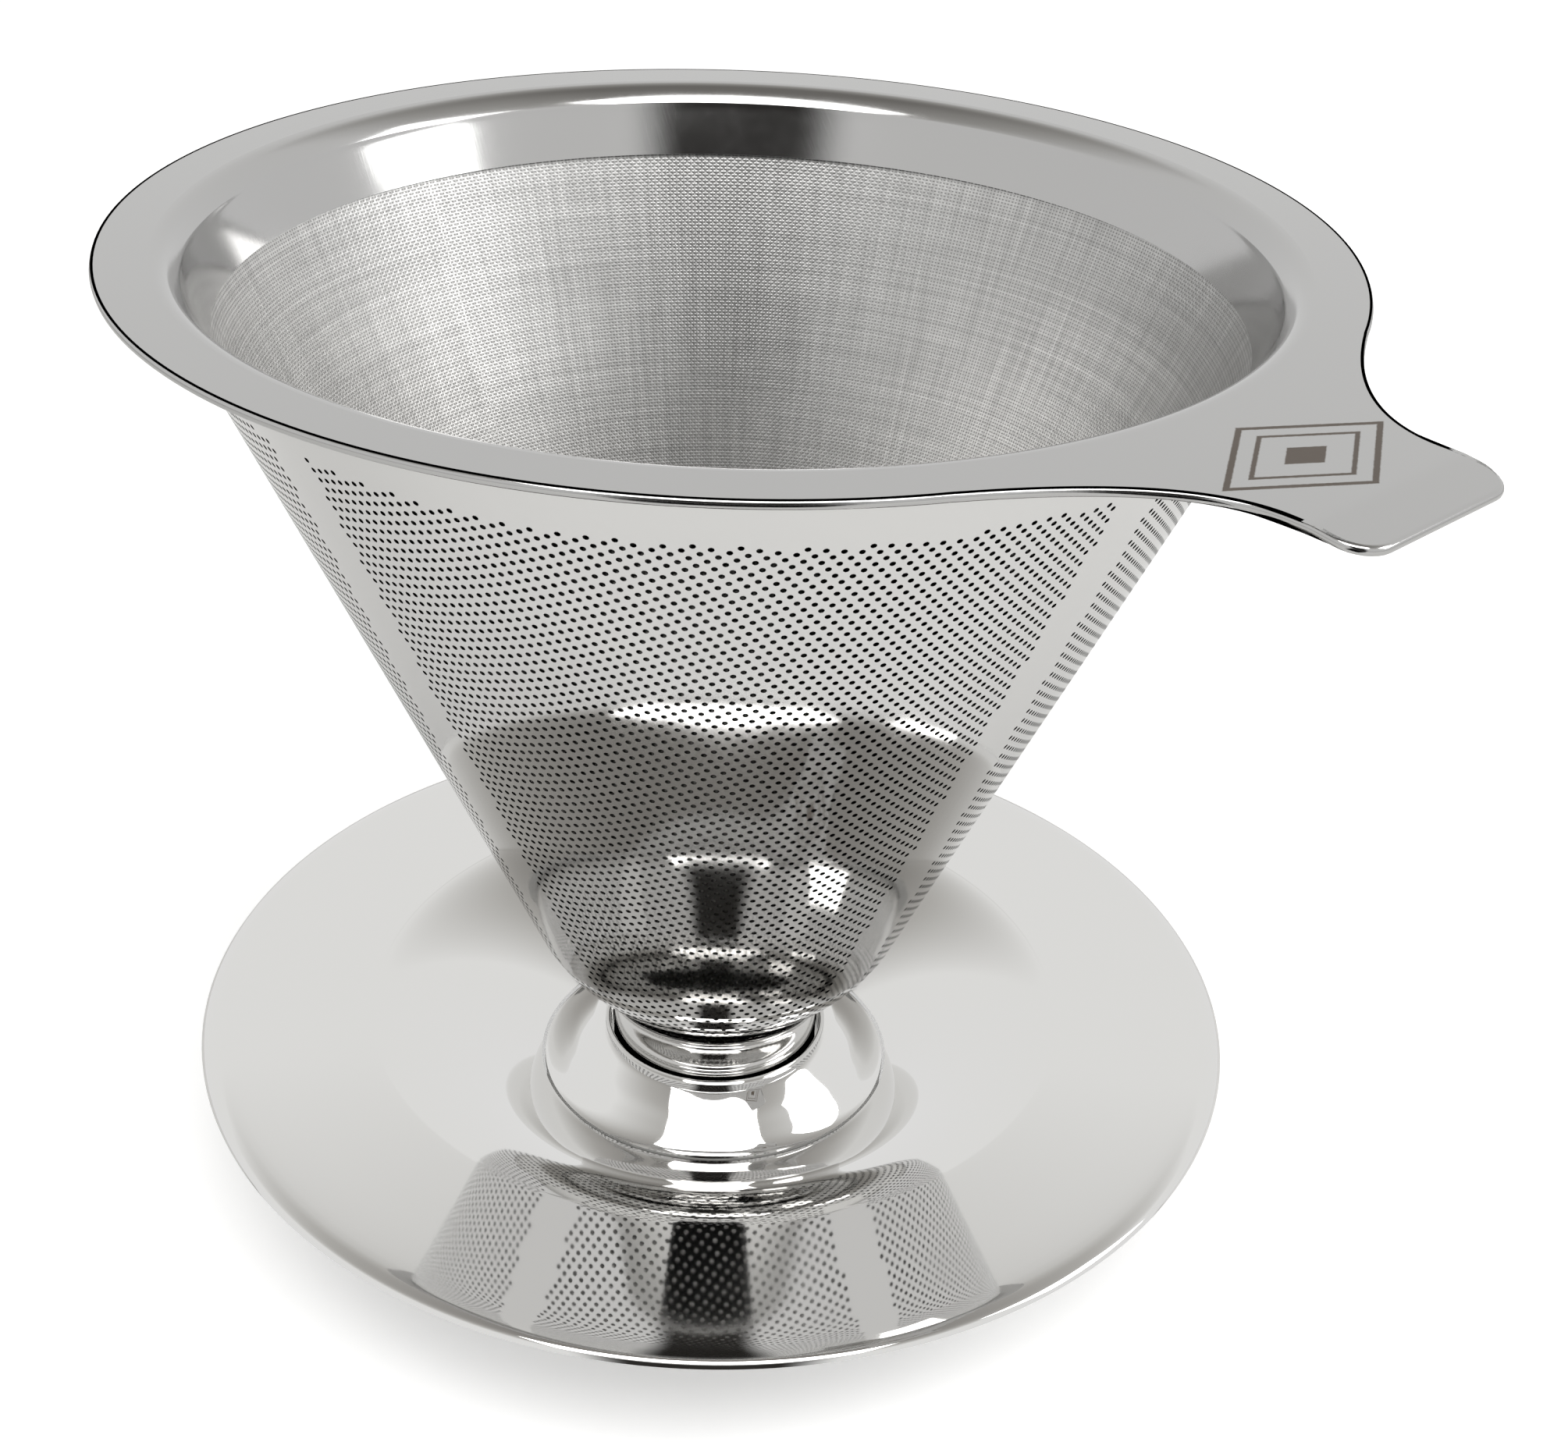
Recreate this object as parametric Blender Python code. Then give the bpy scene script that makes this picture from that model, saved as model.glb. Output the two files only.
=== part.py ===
"""Pour over coffee dripper: a perforated steel cone with a mesh lining and a thumb tab, on a cup saucer.

Metres, +Z up, the tab along +X, the saucer's foot at Z = 0. The turned pieces share one axis, AXIS_X.
"""
import math

import bmesh
import bpy
from mathutils import Vector

for startup in list(bpy.data.objects):
    bpy.data.objects.remove(startup, do_unlink=True)

MM = 0.001
SEGMENTS = 64  # facets round every turned piece
GAP = 0.3  # clearance between neighbouring pieces, mm

# Filter cone, mm
RIM_R = 62.5  # outer edge of the rim
RIM_WIDTH = 6.9  # from the outer edge to where the rim turns down into the cone
RIM_Z = 114.1  # top of the rim
RIM_T = 0.9
APEX_Z = -16.1  # where the cone's slope would meet the axis
CONE_LAP = 1.16  # how far the cone's top edge reaches out under the rim
SHEET_T = 0.5  # perforated sheet
MESH_T = 0.35  # woven lining
COLLAR_DEPTH = 7.5  # band that folds down inside the cone
COLLAR_T = 0.5
CONE_FOOT_Z = 32.1  # where the straight cone ends and the shoulder starts
# Each point of the shoulder: share of the way out from the neck to the cone's foot, height
SHOULDER = ((0.86, 30.0), (0.68, 27.9), (0.47, 25.9), (0.27, 24.2), (0.12, 22.7), (0.03, 21.0))
NECK_R = 12.2
NECK_TOP_Z = 19.2
NECK_BOTTOM_Z = 9.6
NECK_PLAY = 0.4  # clearance of the neck in the hub's bore
FLOOR_T = 0.5  # lining's bottom disc

# Thumb tab, mm. Distances along it are measured from the rim's outer edge.
TAB_ROOT = -4.0
TAB_REACH = 19.9
TAB_HALF = 10.8  # half width of its parallel end
TAB_FLARE_START = -2.7
TAB_FLARE_END = 12.5
TAB_FLARE = 10.9  # extra half width at the flare's root
TAB_ROOT_HALF = 24.0
TAB_BLEND = 14.0  # run over which the loops straighten from the rim's curve
TAB_CORNER_R = 3.4
TAB_SINK = 0.03  # keeps the tab's faces just inside the rim's, so that the join is clean
TAB_BEND = 14.1  # where the end starts to turn down
TAB_BEND_R = 7.0
TAB_BEND_ANGLE = math.radians(7)
TAB_STATIONS = (
    -5.5, -3.9, -2.1, 0.0, 2.5, 5.5, 9.0, 12.5, 14.1, 15.2, 16.4, 17.2, 18.1, 18.8, 19.4, 19.75, 19.9
)
TAB_COLUMNS = 12

# Cup saucer, mm
BRIM_R = 60.4
BRIM_Z = 20.3  # top of the flat brim
BRIM_T = 0.9
DISH_R = 41.0  # where the brim starts to sink into the dish
DISH_FOOT_R = 20.9
DISH_FOOT_Z = 11.6
DISH_CURVE = 1.7  # 1 makes a plain cone; more makes it steeper at the hub and level at the brim
HUB_LIP_Z = 16.8
HUB_LIP_OUT = 1.7  # from the bore to where the lip turns down into the skirt
# Each point of the skirt: share of the way out from the lip to the dish, drop from the lip
HUB_SKIRT = ((0.24, 1.5), (0.57, 3.3), (0.81, 4.5), (0.93, 5.1))
HUB_T = 0.8
LEDGE_IN = 1.3  # how far the ledge reaches in under the neck's end
FOOT_INSET = 0.5  # from the dish's inner edge to the outer wall of the tube that the stand rests on
FOOT_TOP_Z = 10.3
FOOT_SOLE = 4.0  # width of its turned-in sole
FOOT_T = 0.9

RIM_INNER_R = RIM_R - RIM_WIDTH
CONE_SLOPE = (RIM_INNER_R + CONE_LAP) / (RIM_Z - RIM_T - APEX_Z)  # radius gained per mm of height
TAB_END = RIM_R + TAB_REACH
HUB_BORE_R = NECK_R + NECK_PLAY
LEDGE_R = NECK_R - LEDGE_IN
LEDGE_Z = NECK_BOTTOM_Z - GAP
FOOT_R = DISH_FOOT_R - FOOT_INSET
AXIS_X = -TAB_REACH / 2  # centres the box, tab included, on the origin


def cone_r(z, inset=0.0):
    """Radius of the cone's outer skin at a height, less an inset."""
    return (z - APEX_Z) * CONE_SLOPE - inset


def material(name, colour, roughness, metallic=1.0):
    made = bpy.data.materials.new(name)
    made.use_nodes = True
    shader = made.node_tree.nodes["Principled BSDF"]
    shader.inputs["Base Color"].default_value = (*colour, 1.0)
    shader.inputs["Roughness"].default_value = roughness
    shader.inputs["Metallic"].default_value = metallic
    return made


def finish(name, bm, mat):
    """Puts a finished bmesh into the scene with smooth turned faces and crisp edges."""
    bmesh.ops.recalc_face_normals(bm, faces=bm.faces)
    mesh = bpy.data.meshes.new(name)
    bm.to_mesh(mesh)
    bm.free()
    for face in mesh.polygons:
        face.use_smooth = True
    mesh.set_sharp_from_angle(angle=math.radians(35))
    mesh.materials.append(mat)
    made = bpy.data.objects.new(name, mesh)
    bpy.context.scene.collection.objects.link(made)
    return made


def turned(name, outline, mat):
    """Spins a closed outline of (radius, height) in mm round the shared axis."""
    bm = bmesh.new()
    points = [bm.verts.new(((AXIS_X + r) * MM, 0, z * MM)) for r, z in outline]
    edges = [bm.edges.new((a, b)) for a, b in zip(points, points[1:] + points[:1])]
    bmesh.ops.spin(
        bm,
        geom=points + edges,
        cent=Vector((AXIS_X * MM, 0, 0)),
        axis=Vector((0, 0, 1)),
        angle=math.tau,
        steps=SEGMENTS,
        use_merge=True,
    )
    return finish(name, bm, mat)


def sheet(path, thickness):
    """Closes an open path into a sheet: the path, then its offset to the left walked back."""
    back = []
    for k, (r, z) in enumerate(path):
        ahead = path[min(k + 1, len(path) - 1)]
        behind = path[max(k - 1, 0)]
        dr, dz = ahead[0] - behind[0], ahead[1] - behind[1]
        run = math.hypot(dr, dz)
        back.append((r - dz / run * thickness, z + dr / run * thickness))
    return path + back[::-1]


polished = material("polished_steel", (0.72, 0.71, 0.69), 0.12)
satin = material("satin_steel", (0.66, 0.65, 0.63), 0.28)
woven = material("woven_steel", (0.52, 0.51, 0.49), 0.38)

# The rim: a flat flange whose inner edge rolls down into the collar band.
under_z = RIM_Z - RIM_T
collar_foot_z = RIM_Z - COLLAR_DEPTH
collar_inset = SHEET_T + MESH_T + 2 * GAP
collar_top_z = under_z - 1.6
rim_outline = [
    (RIM_R - 0.35, RIM_Z),
    (RIM_R, RIM_Z - 0.35),
    (RIM_R, under_z + 0.3),
    (RIM_R - 0.3, under_z),
    (RIM_INNER_R + 0.6, under_z),
    (RIM_INNER_R - 0.25, under_z - 0.5),
    (cone_r(collar_top_z, collar_inset), collar_top_z),
    (cone_r(collar_foot_z, collar_inset), collar_foot_z),
    (cone_r(collar_foot_z, collar_inset + COLLAR_T), collar_foot_z),
    (cone_r(collar_top_z, collar_inset + COLLAR_T), collar_top_z),
    (RIM_INNER_R - 0.75, under_z - 0.1),
    (RIM_INNER_R - 0.1, RIM_Z - 0.25),
    (RIM_INNER_R + 1.1, RIM_Z),
]
rim = turned("rim_flange", rim_outline, polished)


def tab_half(reach):
    """Half width of the tab at a distance past the rim: a flare, a parallel run, then round corners."""
    width = TAB_HALF
    if reach < TAB_FLARE_END:
        width += TAB_FLARE * ((TAB_FLARE_END - reach) / (TAB_FLARE_END - TAB_FLARE_START)) ** 2
    past = reach - (TAB_REACH - TAB_CORNER_R)
    if past > 0:
        width -= TAB_CORNER_R - math.sqrt(max(TAB_CORNER_R**2 - past**2, 0))
    return width


def tab_drop(reach):
    """How far the end has turned down round the bend."""
    past = max(reach - TAB_BEND, 0)
    turn = min(past / TAB_BEND_R, TAB_BEND_ANGLE)
    return TAB_BEND_R * (1 - math.cos(turn)) + (past - turn * TAB_BEND_R) * math.sin(turn)


def tab_solid():
    """Loops across the tab, from an arc inside the rim to the end, bridged into one plate."""
    root_r = RIM_R + TAB_ROOT
    curve_r = root_r + 3
    bm = bmesh.new()
    rows = []
    for reach in (None, *TAB_STATIONS):
        row = []
        for j in range(TAB_COLUMNS + 1):
            side = -1 + 2 * j / TAB_COLUMNS
            if reach is None:
                v, drop = TAB_ROOT_HALF * side, 0.0
                u = math.sqrt(root_r**2 - v**2)
            else:
                half = tab_half(reach)
                v, drop = half * side, tab_drop(reach)
                blend = max(0.0, 1 - (reach - TAB_STATIONS[0]) / TAB_BLEND) ** 1.5
                bow = math.sqrt(curve_r**2 - v**2) - math.sqrt(curve_r**2 - half**2)
                u = RIM_R + reach + blend * bow
            row.append(bm.verts.new(((AXIS_X + u) * MM, v * MM, (RIM_Z - drop) * MM)))
        rows.append(row)
    for first, second in zip(rows, rows[1:]):
        for j in range(TAB_COLUMNS):
            bm.faces.new((first[j], second[j], second[j + 1], first[j + 1]))
    bmesh.ops.translate(bm, verts=bm.verts, vec=(0, 0, -TAB_SINK * MM))
    lower = bmesh.ops.extrude_face_region(bm, geom=bm.faces[:], use_keep_orig=True)
    lower_verts = [item for item in lower["geom"] if isinstance(item, bmesh.types.BMVert)]
    bmesh.ops.translate(bm, verts=lower_verts, vec=(0, 0, -(RIM_T - 2 * TAB_SINK) * MM))
    return finish("tab_cutout", bm, polished)


tab = tab_solid()
join = rim.modifiers.new("tab", "BOOLEAN")
join.operation = "UNION"
join.solver = "EXACT"
join.use_self = True
join.object = tab
tab.hide_render = True
tab.display_type = "WIRE"

# The perforated cone runs down to a rounded shoulder and a straight neck.
cone_top_z = under_z - GAP
foot_r = cone_r(CONE_FOOT_Z)
shoulder = [(foot_r, CONE_FOOT_Z)]
shoulder += [(NECK_R + (foot_r - NECK_R) * share, z) for share, z in SHOULDER]
shoulder.append((NECK_R, NECK_TOP_Z))
cone_path = [(cone_r(cone_top_z), cone_top_z), (cone_r(72.0), 72.0), *shoulder, (NECK_R, NECK_BOTTOM_Z)]
turned("outer_cone", sheet(cone_path, -SHEET_T), satin)

# The woven lining stands one gap inside the cone and ends on its own bottom disc.
mesh_inset = SHEET_T + GAP
mesh_foot_z = CONE_FOOT_Z + 1.0
mesh_top_z = under_z - 1.2
mesh_path = [
    (cone_r(mesh_top_z, mesh_inset), mesh_top_z),
    (cone_r(72.0, mesh_inset), 72.0),
    (cone_r(mesh_foot_z, mesh_inset), mesh_foot_z),
]
turned("inner_mesh", sheet(mesh_path, -MESH_T), woven)

floor_r = cone_r(mesh_foot_z, mesh_inset + MESH_T + GAP)
floor_bm = bmesh.new()
bmesh.ops.create_cone(
    floor_bm,
    cap_ends=True,
    segments=SEGMENTS,
    radius1=(floor_r - 0.2) * MM,
    radius2=floor_r * MM,
    depth=FLOOR_T * MM,
)
bmesh.ops.translate(floor_bm, verts=floor_bm.verts, vec=(AXIS_X * MM, 0, (mesh_foot_z + FLOOR_T / 2) * MM))
finish("mesh_floor", floor_bm, woven)

# The saucer: a flat brim with a turned edge, sinking into a bell-shaped dish round the hub.
DISH_STEPS = 14
dish_path = []
for k in range(DISH_STEPS + 1):
    share = k / DISH_STEPS
    rise = (BRIM_Z - DISH_FOOT_Z) * (1 - (1 - share) ** DISH_CURVE)
    dish_path.append((DISH_FOOT_R + (DISH_R - DISH_FOOT_R) * share, DISH_FOOT_Z + rise))
brim_path = [
    (BRIM_R - 2.0, BRIM_Z),
    (BRIM_R - 0.9, BRIM_Z - 0.2),
    (BRIM_R - 0.25, BRIM_Z - 0.7),
    (BRIM_R, BRIM_Z - 1.4),
]
turned("stand_saucer", sheet(dish_path + brim_path, -BRIM_T), polished)

# The hub: a bore with a ledge for the neck, a rolled lip and a skirt that meets the dish.
skirt_r = DISH_FOOT_R - GAP
lip_r = HUB_BORE_R + HUB_LIP_OUT
skirt = [(lip_r + (skirt_r - lip_r) * share, HUB_LIP_Z - drop) for share, drop in HUB_SKIRT]
wall_r = HUB_BORE_R + HUB_T
hub_outline = [
    (HUB_BORE_R, HUB_LIP_Z - 0.4),
    (HUB_BORE_R + 0.3, HUB_LIP_Z - 0.05),
    (HUB_BORE_R + 0.8, HUB_LIP_Z),
    (lip_r, HUB_LIP_Z - 0.4),
    *skirt,
    (skirt_r, HUB_LIP_Z - 5.3),
    (skirt_r, FOOT_TOP_Z + GAP),
    (skirt_r - 1.0, FOOT_TOP_Z + GAP),
    *[(r - HUB_T * 0.7, z - HUB_T * 0.7) for r, z in reversed(skirt[:3])],
    (wall_r + 0.3, HUB_LIP_Z - 1.5),
    (wall_r, HUB_LIP_Z - 2.4),
    (wall_r, LEDGE_Z),
    (wall_r - 0.3, LEDGE_Z - HUB_T),
    (LEDGE_R, LEDGE_Z - HUB_T),
    (LEDGE_R, LEDGE_Z),
    (HUB_BORE_R, LEDGE_Z),
]
turned("stand_hub", hub_outline, polished)

# The foot: a tube under the dish, with its sole turned in.
foot_outline = [
    (FOOT_R - FOOT_SOLE, 0.0),
    (FOOT_R - 1.0, 0.0),
    (FOOT_R - 0.3, 0.3),
    (FOOT_R, 1.0),
    (FOOT_R, FOOT_TOP_Z),
    (FOOT_R - FOOT_T, FOOT_TOP_Z),
    (FOOT_R - FOOT_T, FOOT_T + 0.3),
    (FOOT_R - FOOT_T - 0.3, FOOT_T),
    (FOOT_R - FOOT_SOLE, FOOT_T),
]
turned("stand_foot", foot_outline, satin)
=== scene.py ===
# %% [markdown]
# # A steel pour over dripper
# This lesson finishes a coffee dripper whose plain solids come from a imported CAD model.
# The CAD pieces fix every size. Each one is replaced here by a finer piece of the same size,
# because polished metal shows each facet of a coarse mesh.

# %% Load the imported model
import math

import bmesh
import bpy
from mathutils import Matrix, Vector


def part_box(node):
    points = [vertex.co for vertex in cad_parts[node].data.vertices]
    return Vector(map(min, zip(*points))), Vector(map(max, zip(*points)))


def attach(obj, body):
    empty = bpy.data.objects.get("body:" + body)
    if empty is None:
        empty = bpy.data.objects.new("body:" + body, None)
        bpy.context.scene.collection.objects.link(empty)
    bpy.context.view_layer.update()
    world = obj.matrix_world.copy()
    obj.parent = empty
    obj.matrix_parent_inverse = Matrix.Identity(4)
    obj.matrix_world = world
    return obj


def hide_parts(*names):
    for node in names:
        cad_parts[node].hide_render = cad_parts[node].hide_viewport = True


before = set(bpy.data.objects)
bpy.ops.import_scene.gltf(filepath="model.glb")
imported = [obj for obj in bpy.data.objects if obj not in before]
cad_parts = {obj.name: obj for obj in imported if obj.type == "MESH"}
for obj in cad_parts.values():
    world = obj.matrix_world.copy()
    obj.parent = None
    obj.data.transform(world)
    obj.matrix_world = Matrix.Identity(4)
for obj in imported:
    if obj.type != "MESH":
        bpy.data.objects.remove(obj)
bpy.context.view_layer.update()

# %% [markdown]
# ## Sizes
# The turned pieces share one axis, and the thumb tab points along +X. Heights and radii are read
# from the CAD nodes where a node's box gives them, so that the finish follows the model.
# Everything is in millimetres until a mesh is written.

# %% Read the main sizes
MM = 0.001
cone_low, cone_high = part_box("outer_cone")
rim_low, rim_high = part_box("rim_flange")
saucer_low, saucer_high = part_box("stand_saucer")

AXIS_X = 1000 * (cone_low.x + cone_high.x) / 2
RIM_Z = 1000 * rim_high.z
RIM_R = 1000 * rim_high.y
TAB_END = 1000 * rim_high.x - AXIS_X
BRIM_Z = 1000 * saucer_high.z
BRIM_R = 1000 * saucer_high.y
NECK_BOTTOM_Z = 1000 * cone_low.z
RIM_T = 0.9
CONE_SLOPE = 0.439  # radius gained per mm of height
APEX_Z = -16.1  # where the slope would meet the axis
CONE_FOOT_Z = 32.1  # where the straight cone ends and the shoulder starts
NECK_R = 12.2
SHEET_T = 0.5
GAP = 0.3
TURNS = 256  # facets round a turned piece
VIEW_TURN = math.radians(47.0)  # from the camera's right to the tab
FRONT = math.radians(-43.0)  # the line on the cone that faces the camera
print(f"axis x {AXIS_X:.2f}, rim {RIM_R:.1f} at {RIM_Z:.1f}, tab end {TAB_END:.1f}, brim {BRIM_R:.1f}")


# %% [markdown]
# ## Small tools
# A turned piece is a closed outline spun round the axis. The outline is first smoothed with a
# Catmull-Rom curve, because a mirror finish turns every corner of the outline into a hard ring.

# %% Outline tools
def smooth(points, per_span=6):
    """A smooth path through the points, per_span steps from each one to the next."""
    padded = [points[0], *points, points[-1]]
    path = []
    for a, b, c, d in zip(padded, padded[1:], padded[2:], padded[3:]):
        for k in range(per_span):
            t = k / per_span
            path.append(
                tuple(
                    q
                    + 0.5 * (r - p) * t
                    + 0.5 * (2 * p - 5 * q + 4 * r - s) * t**2
                    + 0.5 * (3 * q - p - 3 * r + s) * t**3
                    for p, q, r, s in zip(a, b, c, d)
                )
            )
    return path + [points[-1]]


def offset(path, distance):
    """The same path moved sideways: to its left for a positive distance."""
    moved = []
    for k, (r, z) in enumerate(path):
        ahead, behind = path[min(k + 1, len(path) - 1)], path[max(k - 1, 0)]
        dr, dz = ahead[0] - behind[0], ahead[1] - behind[1]
        run = math.hypot(dr, dz) or 1.0
        moved.append((r - dz / run * distance, z + dr / run * distance))
    return moved


def cone_r(z, inset=0.0):
    """Radius of the cone's outer skin at a height, less an inset."""
    return (z - APEX_Z) * CONE_SLOPE - inset


# %% [markdown]
# Every piece leaves the workshop the same way: its faces smooth, its sharp corners marked, with
# one material, and riding on the body that carries it.

# %% Mesh tools
def shade(bm, name, body, material, sharp=38):
    """Closes a piece off: normals outward, smooth faces, crisp edges, material and body."""
    bmesh.ops.recalc_face_normals(bm, faces=bm.faces)
    mesh = bpy.data.meshes.new(name)
    bm.to_mesh(mesh)
    bm.free()
    mesh.polygons.foreach_set("use_smooth", [True] * len(mesh.polygons))
    mesh.set_sharp_from_angle(angle=math.radians(sharp))
    mesh.materials.append(material)
    piece = bpy.data.objects.new(name, mesh)
    bpy.context.scene.collection.objects.link(piece)
    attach(piece, body)
    return piece


def turned(outline):
    """A bmesh of a closed outline of (radius, height) spun round the axis."""
    bm = bmesh.new()
    ring = [bm.verts.new(((AXIS_X + r) * MM, 0, z * MM)) for r, z in outline]
    edges = [bm.edges.new(pair) for pair in zip(ring, ring[1:] + ring[:1])]
    bmesh.ops.spin(
        bm,
        geom=ring + edges,
        cent=(AXIS_X * MM, 0, 0),
        axis=(0, 0, 1),
        angle=math.tau,
        steps=TURNS,
        use_merge=True,
    )
    return bm


UV_RADIUS = 40.0


def turned_uv(bm):
    """UVs in millimetres: along the girth at one middling radius, and up the height."""
    layer = bm.loops.layers.uv.new("girth")
    for face in bm.faces:
        middle = face.calc_center_median()
        centre_turn = math.atan2(middle.y, middle.x - AXIS_X * MM)
        for loop in face.loops:
            spot = loop.vert.co
            turn = math.atan2(spot.y, spot.x - AXIS_X * MM)
            turn += math.tau * round((centre_turn - turn) / math.tau)
            loop[layer].uv = (turn * UV_RADIUS, spot.z / MM)


# %% [markdown]
# ## Shared shader effects
# Each effect is a node group with named sockets. A group only gives a mask, a value or a height.
# The Principled shader stays in the material, where its gloss can be read directly.

# %% Node group helpers
def new_group(name, inputs, outputs):
    """An empty shader group with float or vector inputs (vector when the default is None)."""
    group = bpy.data.node_groups.new(name, "ShaderNodeTree")
    for label, default in inputs:
        kind = "NodeSocketVector" if default is None else "NodeSocketFloat"
        made = group.interface.new_socket(label, in_out="INPUT", socket_type=kind)
        if default is not None:
            made.default_value = default
    for label in outputs:
        group.interface.new_socket(label, in_out="OUTPUT", socket_type="NodeSocketFloat")
    return group, group.nodes.new("NodeGroupInput"), group.nodes.new("NodeGroupOutput")


def node(tree, kind, links=(), **settings):
    """Adds a node, sets its properties and numbered or named inputs, and links sockets into it."""
    made = tree.nodes.new(kind)
    for key, value in settings.items():
        if key.startswith("in_"):
            made.inputs[int(key[3:])].default_value = value
        else:
            setattr(made, key, value)
    for index, socket in dict(links).items():
        tree.links.new(socket, made.inputs[index])
    return made


def maths(tree, operation, *values):
    """A Math node whose inputs are sockets or numbers. Returns its output socket."""
    made = node(tree, "ShaderNodeMath", operation=operation)
    for index, value in enumerate(values):
        if isinstance(value, (int, float)):
            made.inputs[index].default_value = value
        else:
            tree.links.new(value, made.inputs[index])
    return made.outputs[0]


# %% [markdown]
# Handling haze: large soft clouds and a few smudges that make a gloss uneven, as fingers and
# polishing cloths leave it.

# %% Group: handling haze
haze, haze_in, haze_out = new_group("Handling Haze", [("Vector", None), ("Size", 60.0)], ["Haze"])
cloud_links = {0: haze_in.outputs[0], 2: haze_in.outputs[1]}
cloud = node(haze, "ShaderNodeTexNoise", cloud_links, in_3=3.0, in_4=0.55)
specks = node(haze, "ShaderNodeTexNoise", {0: haze_in.outputs[0]}, in_2=900.0, in_3=2.0)
mixed = maths(haze, "MULTIPLY_ADD", specks.outputs[0], 0.25, cloud.outputs[0])
haze.links.new(mixed, haze_out.inputs[0])
print("haze group:", len(haze.nodes), "nodes")

# %% [markdown]
# Fine grain: thin lines that run one way, made by stretching noise along the vector's X.

# %% Group: fine grain
grain_inputs = [("Vector", None), ("Across", 6.0), ("Along", 0.15)]
grain, grain_in, grain_out = new_group("Fine Grain", grain_inputs, ["Height"])
stretch = node(grain, "ShaderNodeCombineXYZ", {0: grain_in.outputs[2], 1: grain_in.outputs[1]}, in_2=1.0)
scaled_links = {0: grain_in.outputs[0], 1: stretch.outputs[0]}
scaled = node(grain, "ShaderNodeVectorMath", scaled_links, operation="MULTIPLY")
lines = node(grain, "ShaderNodeTexNoise", {0: scaled.outputs[0]}, in_2=1.0, in_3=4.0, in_4=0.7)
grain.links.new(lines.outputs[0], grain_out.inputs[0])
print("grain group:", len(grain.nodes), "nodes")

# %% [markdown]
# Woven wire: two sets of waves at right angles take turns on top, which gives the over and
# under of a plain weave. The vector is in millimetres, so Pitch is the real wire spacing.

# %% Group: woven wire
WIRE_PITCH = 0.34
weave_inputs = [("Vector", None), ("Pitch", WIRE_PITCH)]
weave, weave_in, weave_out = new_group("Woven Wire", weave_inputs, ["Height", "Gap"])
per_mm = maths(weave, "DIVIDE", math.pi, weave_in.outputs[1])
axes = node(weave, "ShaderNodeSeparateXYZ", {0: weave_in.outputs[0]})
wave_x = maths(weave, "SINE", maths(weave, "MULTIPLY", axes.outputs[0], per_mm))
wave_y = maths(weave, "SINE", maths(weave, "MULTIPLY", axes.outputs[1], per_mm))
over = maths(weave, "MULTIPLY", wave_x, wave_y)
bars = maths(weave, "MAXIMUM", maths(weave, "ABSOLUTE", wave_x), maths(weave, "ABSOLUTE", wave_y))
height = maths(weave, "MULTIPLY_ADD", over, 0.35, bars)
gap = maths(weave, "SUBTRACT", 1.0, bars)
weave.links.new(height, weave_out.inputs[0])
weave.links.new(gap, weave_out.inputs[1])
print("weave group:", len(weave.nodes), "nodes")

# %% [markdown]
# Etched mark: a plain emblem of two nested diamonds on the tab. The size of a diamond at a
# point is |x| / width + |y| / height, so a band of that number draws its outline.

# %% Group: etched mark
mark, mark_in, mark_out = new_group("Etched Mark", [("Vector", None)], ["Mark"])
spot = node(mark, "ShaderNodeSeparateXYZ", {0: mark_in.outputs[0]})
ragged = node(mark, "ShaderNodeTexNoise", {0: mark_in.outputs[0]}, in_2=2.2, in_3=3.0)
MARK_ACROSS, MARK_ALONG = 11.4, 7.2  # half sizes of the outer diamond
across = maths(mark, "DIVIDE", maths(mark, "ABSOLUTE", spot.outputs[1]), MARK_ACROSS)
along = maths(mark, "DIVIDE", maths(mark, "ABSOLUTE", spot.outputs[0]), MARK_ALONG)
size = maths(mark, "MULTIPLY_ADD", ragged.outputs[0], 0.02, maths(mark, "ADD", across, along))


def band(centre, half, soft=0.02):
    """1 where the diamond's size is within half of centre, with a soft edge."""
    away = maths(mark, "ABSOLUTE", maths(mark, "SUBTRACT", size, centre))
    fade = node(mark, "ShaderNodeMapRange", {0: away}, in_1=half, in_2=half + soft, in_3=1.0, in_4=0.0)
    return fade.outputs[0]


rims_on = maths(mark, "MAXIMUM", band(0.95, 0.035), band(0.66, 0.025))
all_on = maths(mark, "MAXIMUM", rims_on, band(0.0, 0.26))
mark.links.new(all_on, mark_out.inputs[0])
print("groups:", [group.name for group in bpy.data.node_groups])


# %% [markdown]
# ## Steel finishes
# All the pieces are stainless steel, so they share a base and differ in how they were worked:
# mirror polished stand, brushed rim, bright perforated sheet and woven wire. The roughness of a
# metal decides nearly everything: at 0.02 the dish shows the holes of the cone above it, and at
# 0.2 it would only show a grey cloud.

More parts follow.
